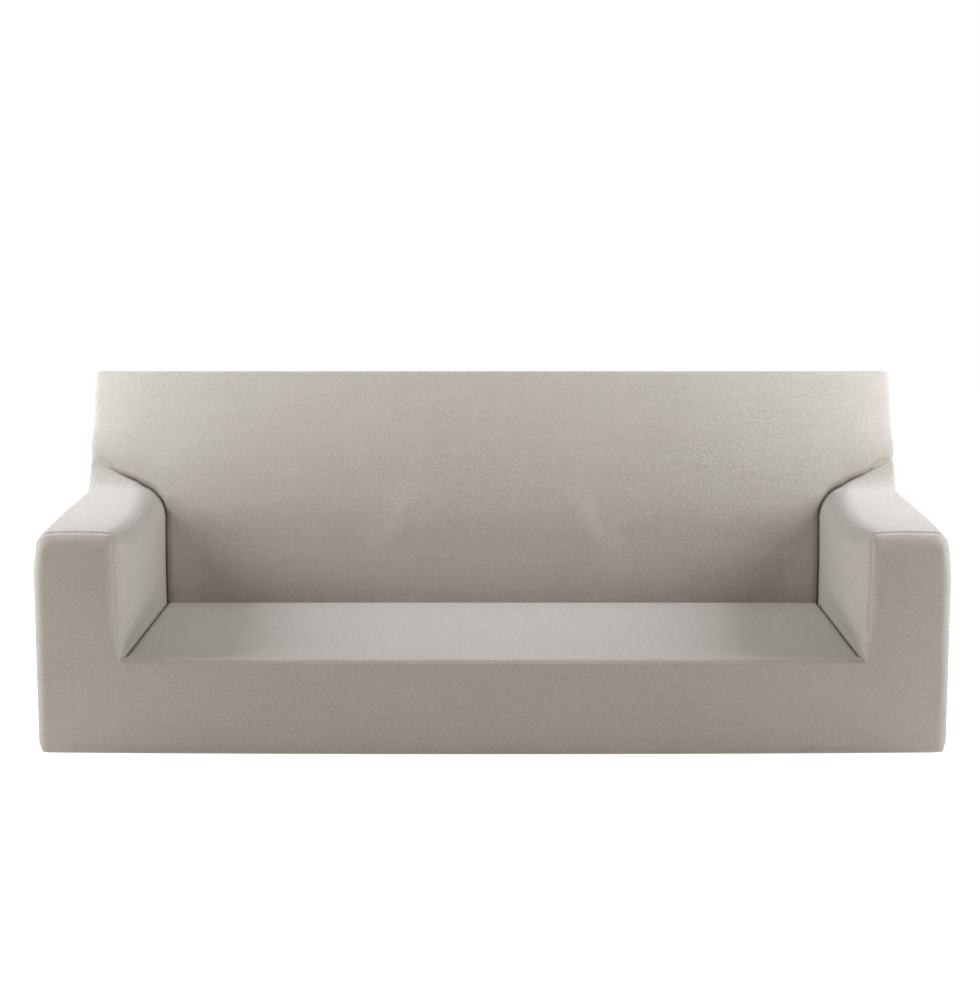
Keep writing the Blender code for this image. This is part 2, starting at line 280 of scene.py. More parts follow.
def panel_of(centre, normal):
    """The panel that a face of the block is cut from."""
    arm_cover = "arm_cover_left" if centre.x < 0 else "arm_cover_right"
    in_front = centre.y < -HALF_DEPTH + HOLD
    if in_front and abs(normal.z) < FACING and abs(centre.x) > SEAT_HALF + TINY:
        return "front_panel"
    if normal.y < -FACING and centre.y < BACK_Y - TINY:
        return "front_panel"
    if normal.z < -FACING and in_front:
        return "front_panel"
    if normal.y > FACING or (normal.z < -FACING and centre.y > HALF_DEPTH - HOLD):
        return "outside_back"
    if normal.z > FACING and abs(centre.z - SEAT_HEIGHT) < TINY:
        return "seat_deck"
    if centre.z > ARM_HEIGHT + TINY or (normal.y < -FACING and abs(centre.x) < SEAT_HALF):
        return "inside_back"
    return arm_cover


for face in cover.data.polygons:
    face.material_index = PANELS.index(panel_of(face.center, face.normal))
print("marked:", {name: sum(f.material_index == n for f in cover.data.polygons)
                  for n, name in enumerate(PANELS)})

# %% Lay out the grain


def grain_of(panel, normal, place):
    """Where a corner of the block lies on the flat pattern of its panel, in metres."""
    x, y, z = place
    out = math.copysign(1.0, x)
    from_front = y + HALF_DEPTH
    from_back = y - BACK_Y
    if panel == "front_panel":
        if abs(normal.x) < FACING:
            return (x, z) if normal.z > -FACING else (x, -from_front)
        if abs(x) > HALF_WIDTH - TINY:
            return out * (HALF_WIDTH + from_front), z
        return out * (SEAT_HALF - from_front), z
    if panel.startswith("arm_cover"):
        if normal.z > FACING:
            return y, ARM_HEIGHT + HALF_WIDTH - abs(x)
        if normal.z < -FACING:
            return y, abs(x) - HALF_WIDTH
        if abs(x) > HALF_WIDTH - TINY:
            return y, z
        return y, 2 * ARM_HEIGHT + ARM_WIDTH - z
    if panel == "inside_back":
        if abs(normal.x) > FACING:
            return out * (HALF_WIDTH + from_back), z
        return (x, HEIGHT + from_back) if normal.z > FACING else (x, z)
    if panel == "outside_back":
        return (-x, z) if normal.z > -FACING else (-x, y - HALF_DEPTH)
    return x, y


grain = cover.data.uv_layers[0] if cover.data.uv_layers else cover.data.uv_layers.new()
grain.name = "grain"
for face in cover.data.polygons:
    for corner in face.loop_indices:
        place = cover.data.vertices[cover.data.loops[corner].vertex_index].co
        grain.data[corner].uv = grain_of(PANELS[face.material_index], face.normal, place)

# %% [markdown]
# ## Creased tucks, and the rounding
#
# Where the arms, the deck and the backrest meet, the cloth is pushed deep into the hollow edges.
# Subdivision would round those like the others, so they are creased, which keeps them tight. Only
# above the arms' outer edges the cloth bridges the hollow, and there the crease stops short. Then
# the whole skin is subdivided. Its flat pattern is smoothed along with it, all but its outline, or
# the knit would look stretched wherever two lines lie close together.

# %% Crease the hollow edges
HOLLOW_ANGLE = -0.5         # radians; a hollow edge of the block turns by about -1.6

open_for_editing(cover)
bpy.ops.mesh.select_mode(type="EDGE")
bpy.ops.mesh.select_all(action="DESELECT")
form = bmesh.from_edit_mesh(cover.data)
hollow_edges = 0
for edge in form.edges:
    middle = (edge.verts[0].co + edge.verts[1].co) / 2
    if len(edge.link_faces) == 2 and edge.calc_face_angle_signed() < HOLLOW_ANGLE:
        if abs(middle.x) < HALF_WIDTH - SOFT_HOLD:
            edge.select_set(True)
            hollow_edges += 1
bmesh.update_edit_mesh(cover.data)
bpy.ops.transform.edge_crease(value=1.0)
bpy.ops.object.mode_set(mode="OBJECT")
print("creased:", hollow_edges, "edges")

# %% Round the rest
ROUNDING_LEVELS = 3


def apply_modifier(obj, modifier):
    make_active(obj)
    bpy.ops.object.modifier_apply(modifier=modifier.name)


rounding = cover.modifiers.new("rounding", "SUBSURF")
rounding.levels = ROUNDING_LEVELS
rounding.render_levels = ROUNDING_LEVELS
rounding.uv_smooth = "PRESERVE_BOUNDARIES"
apply_modifier(cover, rounding)
print("rounded skin:", len(cover.data.polygons), "faces")

# %% [markdown]
# ## Stretching the skin to the sofa's form
#
# A soft sofa isn't a block. Its backrest leans and is crowned, the arms are crowned and stand out
# inwards, their edges are rounder at one end than at the other, and the cloth bridges the corner
# between arm and backrest. Each of these is one short cell, which moves every point by where it
# lay on the block. That is quicker to tune than dragging points, and sculpting it would be less
# even than a stretched cloth is. The cells work on all the points at once, as columns of numbers.

# %% Read the skin's points


def points_of(obj):
    places = np.empty(len(obj.data.vertices) * 3, np.float32)
    obj.data.vertices.foreach_get("co", places)
    return places.reshape(-1, 3).astype(float)


def write_points(obj, points):
    obj.data.vertices.foreach_set("co", points.astype(np.float32).ravel())
    obj.data.update()


def ramp(value, start, end):
    """0 before start, 1 past end, and a smooth rise between them."""
    t = np.clip((value - start) / (end - start), 0.0, 1.0)
    return t * t * (3.0 - 2.0 * t)


def hump(value, centre, half_width):
    """1 at the centre, falling smoothly to 0 at half_width on both sides."""
    t = np.minimum(np.abs(value - centre) / half_width, 1.0)
    return (1.0 - t * t) ** 2


block = points_of(cover)
block_x, block_y, block_z = block.T
aside = np.abs(block_x)
outwards = np.where(block_x > 0.0, 1.0, -1.0)
rise = np.maximum(block_z - SEAT_HEIGHT, 0.0) / (HEIGHT - SEAT_HEIGHT)
along_arm = np.clip((block_y + HALF_DEPTH) / (BACK_Y + HALF_DEPTH), 0.0, 1.0)
skin = block.copy()
print("points:", len(skin))

# %% Backrest
BACK_LEAN = 0.036           # how far back its top lies by an even slope
BACK_CURL = 0.120           # and by a slope that grows with the height
BACK_PUFF = 0.015           # crown of its face
BACK_FACE = 0.10            # depth over which the crown dies out behind the face
TOP_FALL = 0.026            # how far its top falls from front to back


def run_at(height):
    """How far back the leaning face lies at a height."""
    climb = np.maximum(height - SEAT_HEIGHT, 0.0) / (HEIGHT - SEAT_HEIGHT)
    return BACK_LEAN * climb + BACK_CURL * climb**2


lean_share = np.where(
    block_y > BACK_Y,
    (HALF_DEPTH - block_y) / (HALF_DEPTH - BACK_Y),
    (HALF_DEPTH + block_y) / (HALF_DEPTH + BACK_Y),
)
skin[:, 1] += run_at(block_z) * lean_share

crown = 4.0 * rise * (1.0 - rise) * (1.0 - (aside / HALF_WIDTH) ** 4)
face_share = 1.0 - ramp(block_y, BACK_Y, BACK_Y + BACK_FACE)
on_backrest = (block_z > SEAT_HEIGHT) & (block_y > BACK_Y - TINY)
skin[:, 1] -= np.where(on_backrest, BACK_PUFF * crown * face_share, 0.0)

rearwards = np.maximum(block_y - BACK_Y, 0.0) / BACKREST_DEPTH
skin[:, 2] -= TOP_FALL * rearwards * ramp(block_z, ARM_HEIGHT, HEIGHT)
print("backrest leans", round(BACK_LEAN + BACK_CURL, 3), "m at its top")

# %% [markdown]
# ## Arms
#
# Seen closely, an arm isn't a straight bar: its inner edge is tight at the front and grows ever
# rounder towards the backrest, while its outer edge does the opposite, and its inner side swells
# like a soft pad. A bevel has one width all along, so the rounding is worked out here instead:
# each point of the square edge is drawn to a circle, whose radius changes along the arm. The cloth
# of the backrest follows round the arm, or a gap would open between them.

# %% Tops and upper edges of the arms
ARM_CROWN = 0.004           # drop of the arm's top from its middle to its edges, at the front
CROWN_DEPTH = 0.09          # which dies out this far down the sides
INNER_ROUND = (0.030, 0.065, 0.090)     # radius at the arm's front, along it and at its back
FRONT_PART = 0.18           # the share of its length over which the first becomes the second
BACK_PART = 0.35            # the share of it at which that begins to become the third
OUTER_ROUND = (0.042, 0.012)            # radius at its front and at its back
FOLLOW = 0.16               # the backrest's cloth is drawn along this far round the arm

on_arm = (aside > SEAT_HALF - TINY) & (block_y < BACK_Y + TINY)
across_arm = (aside - SEAT_HALF) / ARM_WIDTH
drop = ARM_CROWN * (2.0 * across_arm - 1.0) ** 2 * hump(block_z, ARM_HEIGHT, CROWN_DEPTH)
skin[:, 2] -= np.where(on_arm, drop * (1.0 - along_arm), 0.0)


def rounded(beside, below, radius):
    """How far a point of a square edge moves, sideways and down, as the edge is rounded."""
    near = (np.minimum(beside, below) > -TINY) & (np.maximum(beside, below) < radius)
    reach = np.hypot(radius - beside, radius - below)
    pull = np.where(near, np.maximum(1.0 - radius / np.maximum(reach, TINY), 0.0), 0.0)
    return (radius - beside) * pull, (radius - below) * pull


def along(front, middle, back):
    """A value that changes soon behind the arm's front, and slowly towards its back."""
    value = front + (middle - front) * ramp(along_arm, 0.0, FRONT_PART)
    return value + (back - middle) * ramp(along_arm, BACK_PART, 1.0)


off_arm = np.hypot(np.maximum(SEAT_HALF - aside, 0.0), np.maximum(block_z - ARM_HEIGHT, 0.0))
follow = np.where(block_y < BACK_Y + TINY, 1.0 - ramp(off_arm, 0.0, FOLLOW), 0.0)
inner_radius = along(*INNER_ROUND)
sideways, down = rounded(
    np.maximum(aside - SEAT_HALF, 0.0), np.maximum(ARM_HEIGHT - block_z, 0.0), inner_radius
)
skin[:, 0] += outwards * sideways * follow
skin[:, 2] -= down * follow
across = aside + sideways * follow
height_now = block_z - down * follow

outer_radius = OUTER_ROUND[1] + (OUTER_ROUND[0] - OUTER_ROUND[1]) * (1.0 - along_arm) ** 3
sideways, down = rounded(HALF_WIDTH - aside, ARM_HEIGHT - block_z, outer_radius)
before_back = on_arm & (block_y < BACK_Y - TINY)
skin[:, 0] -= np.where(before_back, outwards * sideways, 0.0)
skin[:, 2] -= np.where(before_back, down, 0.0)
across -= np.where(before_back, sideways, 0.0)
height_now -= np.where(before_back, down, 0.0)
print("arm edges rounded:", int(np.count_nonzero(down[before_back])), "points on the outer edge")

# %% Inner sides of the arms
ARM_PUFF = (0.0, 0.034, 0.0)    # how far the side stands out, at the places of INNER_ROUND
PUFF_START = 0.12           # above the deck, over which it begins to stand out
PUFF_TOP = (0.3, 0.8)       # shares of the arm's width between which its top stops following

stand_out = along(*ARM_PUFF) * ramp(block_z, SEAT_HEIGHT, SEAT_HEIGHT + PUFF_START)
stand_out *= follow * (1.0 - ramp(across_arm, *PUFF_TOP))
skin[:, 0] -= outwards * stand_out
skin[:, 1] += (run_at(height_now) - run_at(block_z)) * lean_share
print("inner sides stand out by up to", round(float(stand_out.max()), 3), "m")

# %% [markdown]
# ## Arm fronts
#
# A front is a flat pad that turns softly into the arm. At its sides the turn is an even quarter
# circle. Over the top it isn't: the cloth curves back to a seam, which lies in a blunt edge, and
# the arm's top begins there at once. So the sides and the top get two different sections, and a
# point near a corner gets its share of both.

# %% Round the arm fronts
FRONT_ROUND = 0.030         # radius beside the front
TOP_ROUND = 0.064           # radius below the seam on top
TOP_TURN = math.radians(45.0)       # how far the front has turned where it meets that seam
TOP_DRAW = 0.20             # behind the seam, the cloth gives way over this length
FOOT_BLEND = 0.08           # above the deck, the inner edge grows round over this height
FAR = 1.0                   # further in than any rounding or tuck reaches

under_top = ARM_HEIGHT - height_now
depth_in = np.full(len(skin), FAR)
inward_x = np.zeros(len(skin))
inward_z = np.zeros(len(skin))
share = np.ones(len(skin))
for from_edge, radius, inward, edge_share in (
    (HALF_WIDTH - across, outer_radius, -1.0, 1.0),
    (across - SEAT_HALF, inner_radius, 1.0, ramp(block_z, SEAT_HEIGHT, SEAT_HEIGHT + FOOT_BLEND)),
):
    past_side = np.maximum(radius - from_edge, 0.0)
    past_top = np.maximum(radius - under_top, 0.0)
    reach = np.maximum(np.hypot(past_side, past_top), TINY)
    closer = (radius - reach < depth_in) & (reach > TINY)
    depth_in = np.where(closer, radius - reach, depth_in)
    inward_x = np.where(closer, inward * past_side / reach, inward_x)
    inward_z = np.where(closer, -past_top / reach, inward_z)
    share = np.where(closer, edge_share, share)

behind = block_y + HALF_DEPTH
depth_in = np.maximum(depth_in, 0.0)
backwards, inwards = rounded(behind, depth_in, FRONT_ROUND)

from_seam = depth_in - behind
on_front = from_seam > 0.0
top_height = TOP_ROUND * math.sin(TOP_TURN)
top_back = TOP_ROUND * (1.0 - math.cos(TOP_TURN))
level_share = np.clip(from_seam / top_height, 0.0, 1.0)
turn = (1.0 - level_share) * TOP_TURN
give = np.maximum(1.0 + from_seam / TOP_DRAW, 0.0) ** 2
over_back = np.where(on_front, TOP_ROUND * (1.0 - np.cos(turn)), top_back * give)
over_in = np.where(on_front, top_height * (1.0 - level_share) - TOP_ROUND * np.sin(turn), 0.0)
at_top = -inward_z
backwards += (over_back - backwards) * at_top
inwards += (over_in - inwards) * at_top

share = np.where(aside > SEAT_HALF - TINY, share, 0.0)
skin[:, 0] += outwards * inward_x * inwards * share
skin[:, 1] += backwards * share
skin[:, 2] += inward_z * inwards * share
print("arm fronts rounded:", int(np.count_nonzero(backwards * share)), "points")

# %% [markdown]
# ## Ends, sides and the bridging cloth
#
# What is left are small moves that stretched cloth makes. The backrest's face falls back a little
# at its ends. Between an arm and the backrest the cloth can't follow the hollow corner, so it
# bridges it like a web. The outer sides lean in, spread at the front and draw in at the floor, and
# the lower edge rises a little towards the corners. Each could be a shape key, but as numbers they
# add up in any order and stay easy to change.

# %% Ends of the backrest
END_BOW = 0.013             # how far the face falls back at its ends
BOW_REACH = 0.16            # from each end inwards
END_BLEND = (0.01, 0.09)    # above the arm, where the bow begins and where it is full

bow = np.maximum(aside - HALF_WIDTH + BOW_REACH, 0.0) / BOW_REACH
share = face_share * ramp(block_z, ARM_HEIGHT + END_BLEND[0], ARM_HEIGHT + END_BLEND[1])
skin[:, 1] += END_BOW * bow**2 * share
print("backrest ends fall back by", END_BOW, "m")

# %% Cloth bridging from arm to backrest
WEB_RISE = 0.073            # cloth pulled up between the arm's outer edge and the backrest
WEB_REACH = 0.080           # forwards from the backrest
WEB_INSET = 0.060           # it begins this far out from the arm's inner side
WEB_FOOT = 0.12             # and this far below the arm's top
WEB_HEAD = 0.74             # and is spent at this height

out_on_arm = np.maximum(aside - SEAT_HALF - WEB_INSET, 0.0) / (ARM_WIDTH - WEB_INSET)
near_back = np.where(
    block_y < BACK_Y,
    np.maximum(1.0 - (BACK_Y - block_y) / WEB_REACH, 0.0) ** 2,
    1.0 - ramp(block_y, BACK_Y, HALF_DEPTH),
)
level = ramp(block_z, ARM_HEIGHT - WEB_FOOT, ARM_HEIGHT)
level *= 1.0 - ramp(block_z, ARM_HEIGHT, WEB_HEAD)
skin[:, 2] += WEB_RISE * out_on_arm * near_back * level
print("cloth bridges up to", WEB_RISE, "m above the arm")

# %% Sides, arm fronts and lower edge
SIDE_LEAN = 0.009           # an outer side leans in this much from the floor to the arm's top
FRONT_SPREAD = 0.005        # it stands out this much more at the front
SPREAD_LENGTH = 0.4         # share of the arm's length over which that fades
LOW_ROUND = 0.028           # radius at the floor
ARM_EDGE_DRAW = 0.010       # the arm's outer top edge draws in further at its front
DRAW_DEPTH = 0.114          # from this far below the arm's top
BACK_SPREAD = 0.010         # above the arms, the backrest is this much wider
SPREAD_BLEND = 0.05         # and widens over this height on both sides of the arm's top
FRONT_PUFF = 0.004          # crown of an arm's front
PUFF_FOOT = (0.10, 0.35)    # heights between which it swells
PUFF_HEAD = 0.10            # and it fades out over this height below the arm's top
HEM_LIFT = 0.005            # the lower edge rises this much towards the corners

inset = SIDE_LEAN * np.minimum(block_z / ARM_HEIGHT, 1.0)
inset += ARM_EDGE_DRAW * (1.0 - along_arm) * ramp(block_z, ARM_HEIGHT - DRAW_DEPTH, ARM_HEIGHT)
inset -= FRONT_SPREAD * (1.0 - ramp(along_arm, 0.0, SPREAD_LENGTH))
inset -= BACK_SPREAD * ramp(block_z, ARM_HEIGHT - SPREAD_BLEND, ARM_HEIGHT + SPREAD_BLEND)
skin[:, 0] -= outwards * inset * ramp(aside, SEAT_HALF, HALF_WIDTH)

inwards, upwards = rounded(HALF_WIDTH - aside, block_z, LOW_ROUND)
skin[:, 0] -= outwards * inwards
skin[:, 2] += upwards

on_arm_front = (block_y < -HALF_DEPTH + HOLD) & (aside > SEAT_HALF)
up = ramp(block_z, *PUFF_FOOT) * (1.0 - ramp(block_z, ARM_HEIGHT - PUFF_HEAD, ARM_HEIGHT))
puff = FRONT_PUFF * 4.0 * across_arm * (1.0 - across_arm) * up
skin[:, 1] -= np.where(on_arm_front, puff, 0.0)

low = 1.0 - ramp(block_z, 0.0, SEAT_HEIGHT)
skin[:, 2] += HEM_LIFT * low * (aside / HALF_WIDTH) ** 2
print("lower edge rises", HEM_LIFT, "m at the corners")

# %% [markdown]
# ## Strained folds and tucks
#
# Low in the backrest the tension shows: the cloth stands out in two soft ridges, which lean
# inwards as they climb, and between and beside them it is drawn in. In the hollow edges it
# disappears into a deep tuck. The solids have these shapes coarsely. Here the tuck gets its real
# section: a soft shoulder that turns down ever more steeply, until the two cloths meet. It is
# deepest at the arm's inner corner, where the cloth of three sides is pulled into one place. Cloth
# simulation would find folds of its own, but not these.

# %% Ridges and hollows in the backrest
RIDGE_HALF = FOLD_HALF * 1.3        # a little wider than the lines that carry it
RIDGES = (
    # x at the foot, x at the head, foot z, head z, height
    (-0.280, -0.210, 0.36, 0.58, 0.005),
    (0.280, 0.210, 0.36, 0.58, 0.005),
)
HOLLOWS = (
    # middle x, half width, head z, depth
    (-0.590, 0.300, 0.525, 0.008),
    (0.000, 0.265, 0.510, 0.006),
    (0.590, 0.300, 0.520, 0.008),
)
HOLLOW_ARCH = 0.045         # the head of a hollow falls by this much towards its ends
HOLLOW_SLOPE = 0.13         # below its head, it reaches its depth over this height
HOLLOW_END = 0.10           # and from its ends, over this length

on_back_face = (np.abs(block_y - BACK_Y) < TINY) & (aside < SEAT_HALF)
drawn_in = np.zeros(len(skin))
for foot_x, head_x, foot_z, head_z, height in RIDGES:
    climb = np.clip((block_z - foot_z) / (head_z - foot_z), 0.0, 1.0)
    ridge_x = foot_x + (head_x - foot_x) * climb
    middle_z = (foot_z + head_z) / 2
    lengthways = hump(block_z, middle_z, middle_z - foot_z)
    drawn_in -= height * lengthways * hump(block_x, ridge_x, RIDGE_HALF)
for middle_x, half_width, head_z, depth in HOLLOWS:
    off_middle = np.abs(block_x - middle_x) / half_width
    arch_z = head_z - HOLLOW_ARCH * off_middle**2
    sides = 1.0 - ramp(off_middle, 1.0 - HOLLOW_END / half_width, 1.0)
    drawn_in += depth * sides * ramp(arch_z - block_z, 0.0, HOLLOW_SLOPE)
skin[:, 1] += np.where(on_back_face, drawn_in, 0.0)
print("backrest drawn in by", round(float(drawn_in.max()) * 1000, 1), "mm")

# %% Tucks
TUCK = 0.016                # depth
CORNER_TUCK = 0.014         # how much deeper at the arm's inner corner
CORNER_REACH = 0.13         # from that corner, over which the extra depth dies out
TUCK_SHOULDER = 0.018       # half the width of its mouth
CORNER_SHOULDER = 0.010     # how much wider its mouth is at that corner
TUCK_END = (0.12, 0.045)    # from the arm's outer edge, where the crease begins to fade and ends


def tucked(distance, shoulder=TUCK_SHOULDER):
    """1 in the hollow edge, falling ever more gently to 0 at the shoulder."""
    return np.maximum(1.0 - distance / shoulder, 0.0) ** 2


to_back = np.abs(block_y - BACK_Y)
to_arm_side = np.abs(aside - SEAT_HALF)
to_deck = np.abs(block_z - SEAT_HEIGHT)
to_corner = np.hypot(aside - SEAT_HALF, block_z - ARM_HEIGHT)
inside = block_y > -HALF_DEPTH + HOLD + TINY
between_arms = aside < SEAT_HALF + TINY

deck_tuck = tucked(np.where(between_arms, np.hypot(to_deck, to_back), FAR))
deck_tuck = np.maximum(deck_tuck, tucked(np.hypot(to_deck, to_arm_side)))
front_fade = ramp(block_y, -HALF_DEPTH + HOLD, -HALF_DEPTH + 3 * HOLD)
skin[:, 2] -= TUCK * np.where(inside, deck_tuck * front_fade, 0.0)

crease_end = 1.0 - ramp(aside, HALF_WIDTH - TUCK_END[0], HALF_WIDTH - TUCK_END[1])
at_corner = hump(to_corner, 0.0, CORNER_REACH)
short_of_side = np.maximum(SEAT_HALF + inner_radius - across, 0.0)
over_top = np.maximum(height_now - ARM_HEIGHT + inner_radius, 0.0)
off_outline = np.maximum(np.hypot(short_of_side, over_top) - inner_radius, 0.0)
crease = tucked(np.hypot(off_outline, to_back), TUCK_SHOULDER + CORNER_SHOULDER * at_corner)
skin[:, 1] += (TUCK + CORNER_TUCK * at_corner) * crease * crease_end
write_points(cover, skin)
print("tucks reach", TUCK, "to", TUCK + CORNER_TUCK, "m into the sofa")

# %% [markdown]
# ## Seams
#
# A sewn seam shows as a fine valley: the thread pulls the two edges down, and the turned-in
# allowance behind them pushes up a low roll on each side, which the stitches pucker a little. A
# row of modelled stitches would be wrong here, because this seam is sewn from the inside. The
# distance from every point to the nearest seam is measured, and the valley follows from it.

# %% Find the seams
SEAM_STEP = 0.002           # metres from one measured place to the next


def normals_of(obj):
    normals = np.empty(len(obj.data.vertices) * 3, np.float32)
    obj.data.vertex_normals.foreach_get("vector", normals)
    return normals.reshape(-1, 3).astype(float)


panels_at_edge = {}
for face in cover.data.polygons:
    for key in face.edge_keys:
        panels_at_edge.setdefault(key, set()).add(face.material_index)
seam_edges = [key for key, panels in panels_at_edge.items() if len(panels) > 1]

seam_points = []
for start, end in seam_edges:
    length = np.linalg.norm(skin[end] - skin[start])
    steps = max(int(length / SEAM_STEP), 1)
    seam_points += [skin[start] + (skin[end] - skin[start]) * s / steps for s in range(steps + 1)]
seam_tree = KDTree(len(seam_points))
for number, place in enumerate(seam_points):
    seam_tree.insert(place, number)
seam_tree.balance()
to_seam = np.array([seam_tree.find(place)[2] for place in skin])
print("seams:", round(sum(np.linalg.norm(skin[b] - skin[a]) for a, b in seam_edges), 1), "m")

# %% Pull them down
SEAM_VALLEY = 0.0012        # depth
VALLEY_HALF = 0.0045
SEAM_ROLL = 0.0004          # height of the rolls beside it
ROLL_AT = 0.008             # from the seam
ROLL_HALF = 0.006
PUCKER = 0.0006             # height
PUCKER_REACH = 0.022        # from the seam
PUCKER_EVERY = 0.016        # metres from one pucker to the next, roughly

normals = normals_of(cover)
puckers = np.array([noise.noise(Vector(place) / PUCKER_EVERY) for place in skin])
seam_shape = -SEAM_VALLEY * hump(to_seam, 0.0, VALLEY_HALF)
seam_shape += SEAM_ROLL * hump(to_seam, ROLL_AT, ROLL_HALF)
seam_shape += PUCKER * puckers * hump(to_seam, 0.5 * PUCKER_REACH, 0.5 * PUCKER_REACH)
skin += normals * seam_shape[:, None]
write_points(cover, skin)
print("deepest seam point:", round(float(seam_shape.min()) * 1000, 2), "mm")

# %% [markdown]
# ## Cutting the panels apart
#
# Now the skin is cut along its seams. Separating by material turns each panel into its own
# object, and Solidify gives it the thickness of the knit, inwards, so that the outside stays where
# it is. The rims are kept square.

# %% Separate and thicken
CLOTH = 0.0024              # thickness of the knit
RIM_ANGLE = math.radians(50.0)      # an edge that turns more than this stays hard

for name in PANELS:
    cover.data.materials.append(bpy.data.materials.new(name))
open_for_editing(cover)
bpy.ops.mesh.select_all(action="SELECT")
bpy.ops.mesh.separate(type="MATERIAL")
bpy.ops.object.mode_set(mode="OBJECT")

cloths = {}
for piece in list(bpy.context.selected_objects):
    marks = [slot.material.name for slot in piece.material_slots]
    name = marks[piece.data.polygons[0].material_index] if len(marks) > 1 else marks[0]
    piece.name = name + "_cloth"
    piece.data.name = piece.name
    cloths[name] = piece

for name, piece in cloths.items():
    thickness = piece.modifiers.new("thickness", "SOLIDIFY")
    thickness.thickness = CLOTH
    thickness.offset = -1.0
    apply_modifier(piece, thickness)
    bpy.ops.object.shade_smooth_by_angle(angle=RIM_ANGLE)
    print(piece.name, len(piece.data.polygons), "faces")

# %% [markdown]
# ## The knit
#
# The cloth is a bubble knit: small round beads in staggered rows, each a raised loop of yarn with
# a dimple above its middle, and fine upright yarns in the gaps between them. The beads could be
# modelled, but there would be half a million of them, so they are bump and colour. Two grids of
# cells, one shifted by half a cell both ways, make the staggered rows from plain arithmetic on
# the grain map, so they run straight along every panel, at true size.

# %% Small tools for node trees
knit = bpy.data.materials.new("stretch_knit")
knit.use_nodes = True
tree = knit.node_tree
nodes, links = tree.nodes, tree.links
shader = nodes["Principled BSDF"]


def put(value, socket):
    """Feed a socket from another node's output, or set its own value."""
    if isinstance(value, bpy.types.NodeSocket):
        links.new(value, socket)
    else:
        socket.default_value = value


def maths(operation, first, second=0.0, third=0.0, clamp=False):
    node = nodes.new("ShaderNodeMath")
    node.operation = operation
    node.use_clamp = clamp
    for value, socket in zip((first, second, third), node.inputs):
        put(value, socket)
    return node.outputs[0]


# %% Bead cells
BEAD_PITCH = 0.0050         # along a row
ROW_PITCH = 0.00235         # from one row to the next, which is shifted by half a bead
BEAD_RADIUS = (0.00166, 0.00172)    # along the row, and upwards
DIMPLE_UP = 0.0004          # from the bead's middle
DIMPLE_RADIUS = 0.0008
WOBBLE = 0.00040            # how far a bead may lie off its place
WOBBLE_SCALE = 270.0        # how soon that changes from bead to bead
WOBBLE_DETAIL = 1.0

grain_node = nodes.new("ShaderNodeUVMap")
grain_node.uv_map = "grain"
wobble = nodes.new("ShaderNodeTexNoise")
wobble.inputs["Scale"].default_value = WOBBLE_SCALE
wobble.inputs["Detail"].default_value = WOBBLE_DETAIL
links.new(grain_node.outputs["UV"], wobble.inputs["Vector"])
wobble_split = nodes.new("ShaderNodeSeparateColor")
links.new(wobble.outputs["Color"], wobble_split.inputs["Color"])
grain_split = nodes.new("ShaderNodeSeparateXYZ")
links.new(grain_node.outputs["UV"], grain_split.inputs["Vector"])
across_knit = maths(
    "MULTIPLY_ADD", wobble_split.outputs["Red"], 2 * WOBBLE, grain_split.outputs["X"]
)
up_knit = maths(
    "MULTIPLY_ADD", wobble_split.outputs["Green"], 2 * WOBBLE, grain_split.outputs["Y"]
)


def bead_cell(shift):
    """One grid of beads: its height, its dimple, and a number of its own for each bead."""
    column = maths("MULTIPLY_ADD", across_knit, 1.0 / BEAD_PITCH, shift)
    row = maths("MULTIPLY_ADD", up_knit, 0.5 / ROW_PITCH, shift)
    x = maths("SUBTRACT", maths("FRACT", column), 0.5)
    y = maths("SUBTRACT", maths("FRACT", row), 0.5)
    x_share = maths("MULTIPLY", x, BEAD_PITCH / BEAD_RADIUS[0])
    y_share = maths("MULTIPLY", y, 2 * ROW_PITCH / BEAD_RADIUS[1])
    reach = maths("ADD", maths("MULTIPLY", x_share, x_share), maths("MULTIPLY", y_share, y_share))
    dome = maths("SQRT", maths("SUBTRACT", 1.0, reach, clamp=True))
    x_off = maths("MULTIPLY", x, BEAD_PITCH / DIMPLE_RADIUS)
    y_off = maths("MULTIPLY", maths("SUBTRACT", y, DIMPLE_UP / (2 * ROW_PITCH)),
                  2 * ROW_PITCH / DIMPLE_RADIUS)
    off = maths("ADD", maths("MULTIPLY", x_off, x_off), maths("MULTIPLY", y_off, y_off))
    dimple = maths("SUBTRACT", 1.0, off, clamp=True)
    cell = nodes.new("ShaderNodeCombineXYZ")
    links.new(maths("FLOOR", column), cell.inputs["X"])
    links.new(maths("FLOOR", row), cell.inputs["Y"])
    cell.inputs["Z"].default_value = shift
    own = nodes.new("ShaderNodeTexWhiteNoise")
    own.noise_dimensions = "3D"
    links.new(cell.outputs["Vector"], own.inputs["Vector"])
    return dome, dimple, own.outputs["Value"]


first_dome, first_dimple, first_own = bead_cell(0.0)
second_dome, second_dimple, second_own = bead_cell(0.5)
dome = maths("MAXIMUM", first_dome, second_dome)
dimple = maths("MAXIMUM", first_dimple, second_dimple)
in_second = maths("GREATER_THAN", second_dome, first_dome)
own = maths("MULTIPLY_ADD", maths("SUBTRACT", second_own, first_own), in_second, first_own)
print("bead cells:", len(nodes), "nodes so far")

# %% Height and bump
YARN_PITCH = 0.0009         # from one upright yarn to the next
DIMPLE_DEPTH = 0.45         # share of a bead's height
YARN_HEIGHT = 0.10          # share of a bead's height
BEAD_HEIGHT = 0.0008
BUMP_STRENGTH = 0.8

yarn = maths("SINE", maths("MULTIPLY", across_knit, 2 * math.pi / YARN_PITCH))
height = maths("MULTIPLY_ADD", dimple, -DIMPLE_DEPTH, dome)
height = maths("MULTIPLY_ADD", yarn, YARN_HEIGHT, height)

